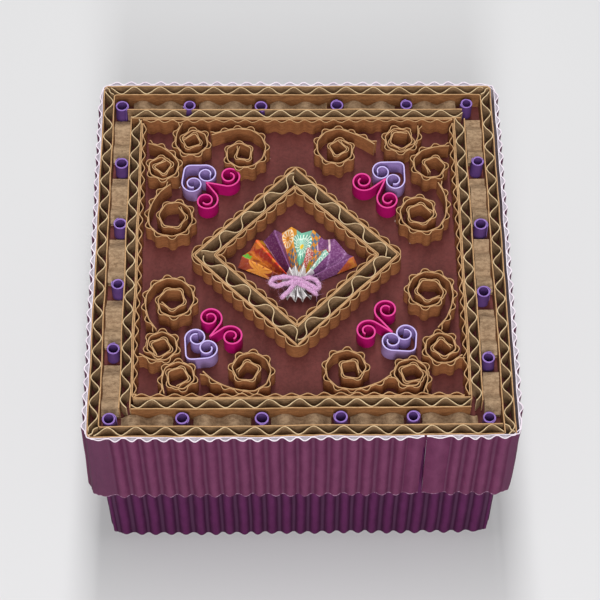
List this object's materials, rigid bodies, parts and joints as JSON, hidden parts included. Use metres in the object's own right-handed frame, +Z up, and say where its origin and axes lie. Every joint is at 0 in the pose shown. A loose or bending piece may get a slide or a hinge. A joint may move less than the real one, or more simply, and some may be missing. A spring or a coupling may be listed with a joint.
{
  "type": "lidded card gift box",
  "caption": "Square two-piece box of corrugated card; the lid's top carries fluted card frames, rolled coils, quilled hearts and scrolls and a pleated paper fan.",
  "frame": {"origin": "middle of the underside, on the surface that the box stands on", "axes": "+Z up, -Y towards the viewer of the face with the lid's seam, +X to the right"},
  "size_m": [0.118, 0.118, 0.069],
  "materials": {
    "plum_flutes": "matt plum corrugated card",
    "plum_base": "matt deep plum corrugated card",
    "inner_card": "pale card",
    "maroon_card": "matt maroon card",
    "kraft_card": "brown kraft board",
    "pale_kraft": "pale kraft fluting",
    "lilac_paper": "matt lilac paper",
    "magenta_paper": "matt magenta paper",
    "purple_paper": "matt purple paper",
    "printed_paper": "patterned paper in warm and purple fields",
    "pink_yarn": "soft pink yarn"
  },
  "bodies": {
    "base": {"base_bottom": "inner_card", "base_wall": "plum_base"},
    "lid": {"channel_back": "pale_kraft", "channel_front": "pale_kraft", "channel_left": "pale_kraft", "channel_right": "pale_kraft", "coil_back_left_1": "kraft_card", "coil_back_left_2": "kraft_card", "coil_back_left_3": "kraft_card", "coil_back_left_4": "kraft_card", "coil_back_right_1": "kraft_card", "coil_back_right_2": "kraft_card", "coil_back_right_3": "kraft_card", "coil_back_right_4": "kraft_card", "coil_front_left_1": "kraft_card", "coil_front_left_2": "kraft_card", "coil_front_left_3": "kraft_card", "coil_front_left_4": "kraft_card", "coil_front_right_1": "kraft_card", "coil_front_right_2": "kraft_card", "coil_front_right_3": "kraft_card", "coil_front_right_4": "kraft_card", "diamond_edging": "kraft_card", "diamond_left": "kraft_card", "diamond_lining": "kraft_card", "diamond_right": "kraft_card", "fan": "printed_paper", "heart_back_left": "lilac_paper", "heart_back_right": "lilac_paper", "heart_front_left": "lilac_paper", "heart_front_right": "lilac_paper", "inner_frame_back": "kraft_card", "inner_frame_front": "kraft_card", "inner_frame_left": "kraft_card", "inner_frame_right": "kraft_card", "lid_card": "maroon_card", "lid_skirt": "plum_flutes", "lining_back": "kraft_card", "lining_left_front": "kraft_card", "lining_right": "kraft_card", "outer_frame": "kraft_card", "scroll_back_left": "magenta_paper", "scroll_back_right": "magenta_paper", "scroll_front_left": "magenta_paper", "scroll_front_right": "magenta_paper", "tubes_back": "purple_paper", "tubes_front": "purple_paper", "tubes_left": "purple_paper", "tubes_right": "purple_paper", "yarn_bow": "pink_yarn"}
  },
  "joints": [
    {"name": "lid_lift", "type": "slide", "parent": "base", "child": "lid", "axis": [0, 0, 1], "range_m": [0, 0.05]}
  ]
}
